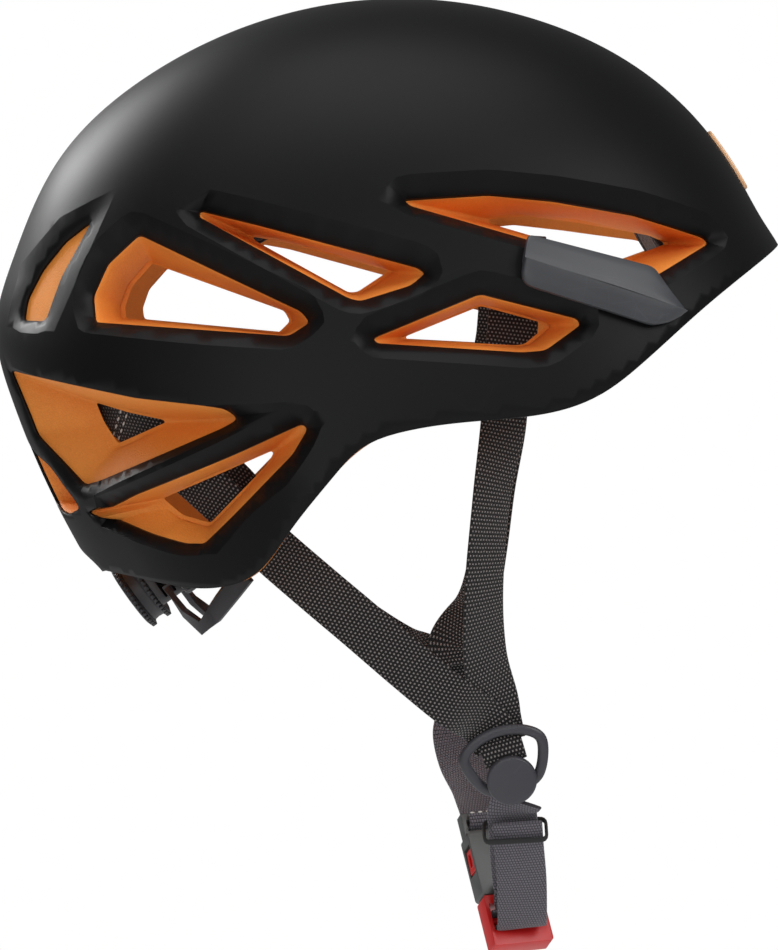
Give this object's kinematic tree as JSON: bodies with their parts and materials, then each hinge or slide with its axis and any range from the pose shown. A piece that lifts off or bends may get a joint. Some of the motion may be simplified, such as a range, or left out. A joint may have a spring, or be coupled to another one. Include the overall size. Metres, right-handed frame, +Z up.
{
  "type": "climbing helmet",
  "caption": "Lightweight vented climbing helmet with foam liner in a thin skin, webbing harness with strap dividers, side-release chin buckle and a ratchet-wheel nape cradle.",
  "frame": {"origin": "middle of the head space, on the mid-plane, level with the lower edge of the nape", "axes": "+X to the front, +Y to the wearer's left, +Z up, with the brim tipped up as the helmet hangs on a head looking slightly up"},
  "size_m": [0.2797, 0.2156, 0.3418],
  "materials": {
    "shell": "satin in-moulded polycarbonate skin",
    "foam": "moulded polystyrene bead foam",
    "badge": "raised blank badge",
    "clip_plastic": "moulded nylon",
    "pad_fabric": "knit-covered pad",
    "harness_webbing": "open-weave polyester webbing",
    "chin_webbing": "close-weave polyester webbing",
    "anchor_plastic": "moulded plastic",
    "divider_plastic": "moulded acetal",
    "buckle_grey": "moulded acetal",
    "buckle_red": "moulded acetal",
    "keeper_rubber": "moulded rubber",
    "ratchet_plastic": "moulded nylon"
  },
  "bodies": {
    "helmet": {"buckle_socket": "buckle_grey", "chin_strap_left": "harness_webbing", "chin_strap_right": "chin_webbing", "chin_strap_tail": "chin_webbing", "divider_cap_left": "divider_plastic", "divider_cap_right": "divider_plastic", "divider_frame_left": "divider_plastic", "divider_frame_right": "divider_plastic", "divider_lock_left": "divider_plastic", "divider_lock_right": "divider_plastic", "foam_liner": "foam", "front_badge": "badge", "front_strap_left": "harness_webbing", "front_strap_right": "harness_webbing", "headlamp_clip_left": "clip_plastic", "headlamp_clip_right": "clip_plastic", "outer_shell": "shell", "pad_crown": "pad_fabric", "pad_front": "pad_fabric", "pad_nape": "pad_fabric", "pad_side_left": "pad_fabric", "pad_side_right": "pad_fabric", "rear_strap_left": "harness_webbing", "rear_strap_right": "harness_webbing", "strap_anchor_front_left": "anchor_plastic", "strap_anchor_front_right": "anchor_plastic", "strap_anchor_rear_left": "anchor_plastic", "strap_anchor_rear_right": "anchor_plastic", "temple_peg_left": "anchor_plastic", "temple_peg_right": "anchor_plastic"},
    "cradle": {"side_band_right": "ratchet_plastic", "side_band_left": "ratchet_plastic", "ratchet_housing": "ratchet_plastic", "ratchet_cover": "ratchet_plastic", "nape_cushion": "pad_fabric"},
    "wheel": {"ratchet_wheel": "ratchet_plastic", "ratchet_shaft": "ratchet_plastic"},
    "rack_right": {"rack_right": "ratchet_plastic"},
    "rack_left": {"rack_left": "ratchet_plastic"},
    "plug": {"buckle_plug": "buckle_red"},
    "prong_front": {"buckle_prong_front": "buckle_red"},
    "prong_rear": {"buckle_prong_rear": "buckle_red"},
    "keeper": {"strap_keeper": "keeper_rubber"}
  },
  "joints": [
    {"name": "cradle_drop", "type": "hinge", "parent": "helmet", "child": "cradle", "pos_m": [0.012, 0, 0.047], "axis": [0, -1, 0], "range_deg": [0, 8]},
    {"name": "wheel_turn", "type": "hinge", "parent": "cradle", "child": "wheel", "pos_m": [-0.0935, 0, -0.0305], "axis": [-0.81, 0, -0.5864], "range_deg": [-105, 105], "deforming": ["side_band_right", "side_band_left"]},
    {"name": "rack_right_slide", "type": "slide", "parent": "cradle", "child": "rack_right", "axis": [0, -1, 0], "range_m": [-0.0065, 0.0065], "deforming": ["side_band_right"]},
    {"name": "rack_left_slide", "type": "slide", "parent": "cradle", "child": "rack_left", "axis": [0, 1, 0], "range_m": [-0.0065, 0.0065], "deforming": ["side_band_left"]},
    {"name": "buckle_release", "type": "slide", "parent": "helmet", "child": "plug", "axis": [0.2141, -0.4917, -0.844], "range_m": [0, 0.026], "deforming": ["chin_strap_right", "chin_strap_tail", "buckle_prong_front", "buckle_prong_rear"]},
    {"name": "prong_front_squeeze", "type": "hinge", "parent": "plug", "child": "prong_front", "pos_m": [0.04566, -0.00291, -0.14049], "axis": [0.2538, -0.8063, 0.5342], "range_deg": [0, 7], "stiffness_Nm_per_rad": 0.5},
    {"name": "prong_rear_squeeze", "type": "hinge", "parent": "plug", "child": "prong_rear", "pos_m": [0.03246, -0.00753, -0.14119], "axis": [-0.2538, 0.8063, -0.5342], "range_deg": [0, 7], "stiffness_Nm_per_rad": 0.5},
    {"name": "keeper_slide", "type": "slide", "parent": "helmet", "child": "keeper", "axis": [-0.05, -0.6598, 0.7498], "range_m": [-0.01, 0.004], "deforming": ["chin_strap_right", "chin_strap_tail"]}
  ],
  "couplings": [
    {"joint": "rack_right_slide", "follows": "wheel_turn", "m_per_rad": 0.0033},
    {"joint": "rack_left_slide", "follows": "wheel_turn", "m_per_rad": 0.0033}
  ]
}
